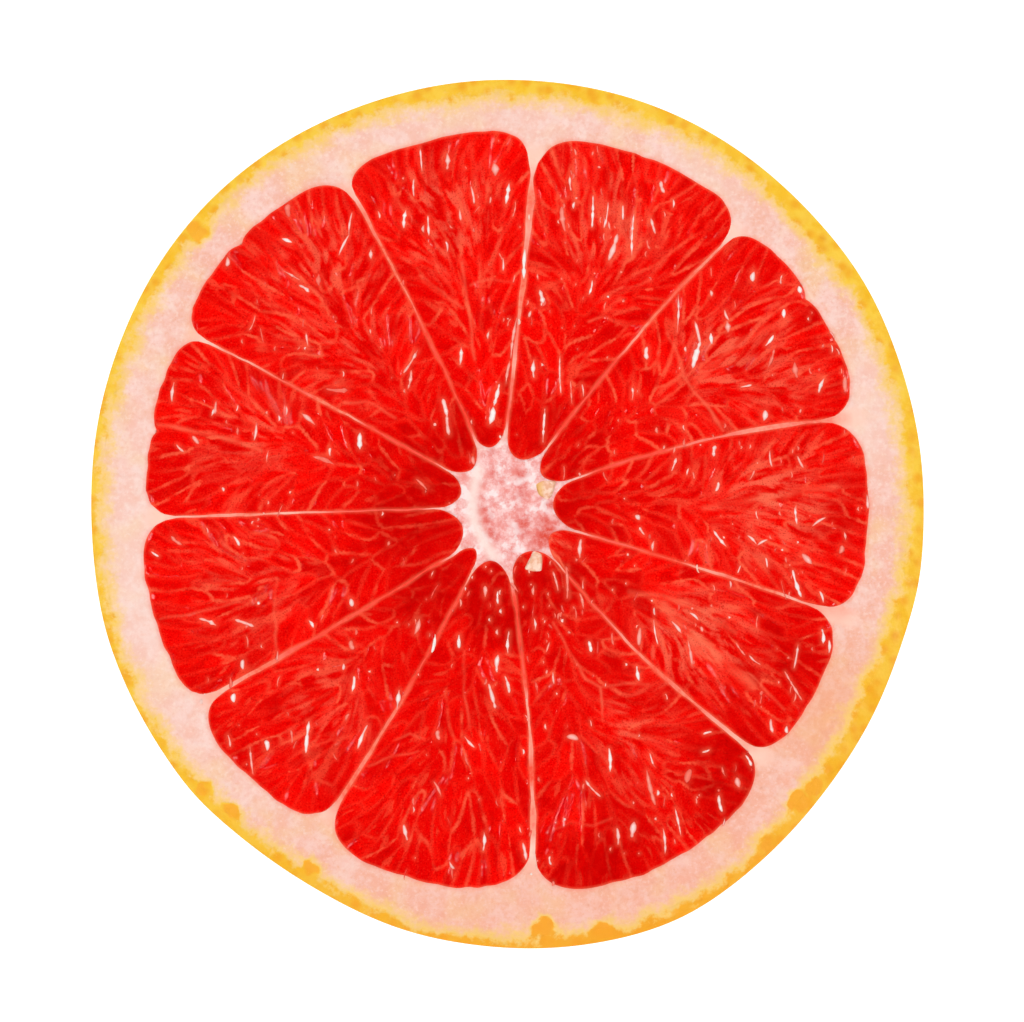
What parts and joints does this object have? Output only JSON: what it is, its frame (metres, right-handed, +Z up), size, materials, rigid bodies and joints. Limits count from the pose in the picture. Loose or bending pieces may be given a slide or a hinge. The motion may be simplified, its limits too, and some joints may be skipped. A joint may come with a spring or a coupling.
{
  "type": "grapefruit half",
  "caption": "Half of a red grapefruit cut across its core, lying on its blossom end: peel, pith with core and membranes, red segments and small seeds.",
  "frame": {"origin": "middle of the small flat spot that the half rests on, under the middle of its box", "axes": "+Z up, along the fruit's stalk axis, towards the cut face; +Y along the long way of the slightly oval cut face"},
  "size_m": [0.0982, 0.1022, 0.0444],
  "materials": {
    "peel": "satin",
    "pith": "matte",
    "pulp": "gloss",
    "seed": "satin"
  },
  "bodies": {
    "root": {"peel": "peel", "pith": "pith", "pulp_01": "pulp", "pulp_02": "pulp", "pulp_03": "pulp", "pulp_04": "pulp", "pulp_05": "pulp", "pulp_06": "pulp", "pulp_07": "pulp", "pulp_08": "pulp", "pulp_09": "pulp", "pulp_10": "pulp", "pulp_11": "pulp", "seed_1": "seed", "seed_2": "seed"}
  },
  "joints": []
}
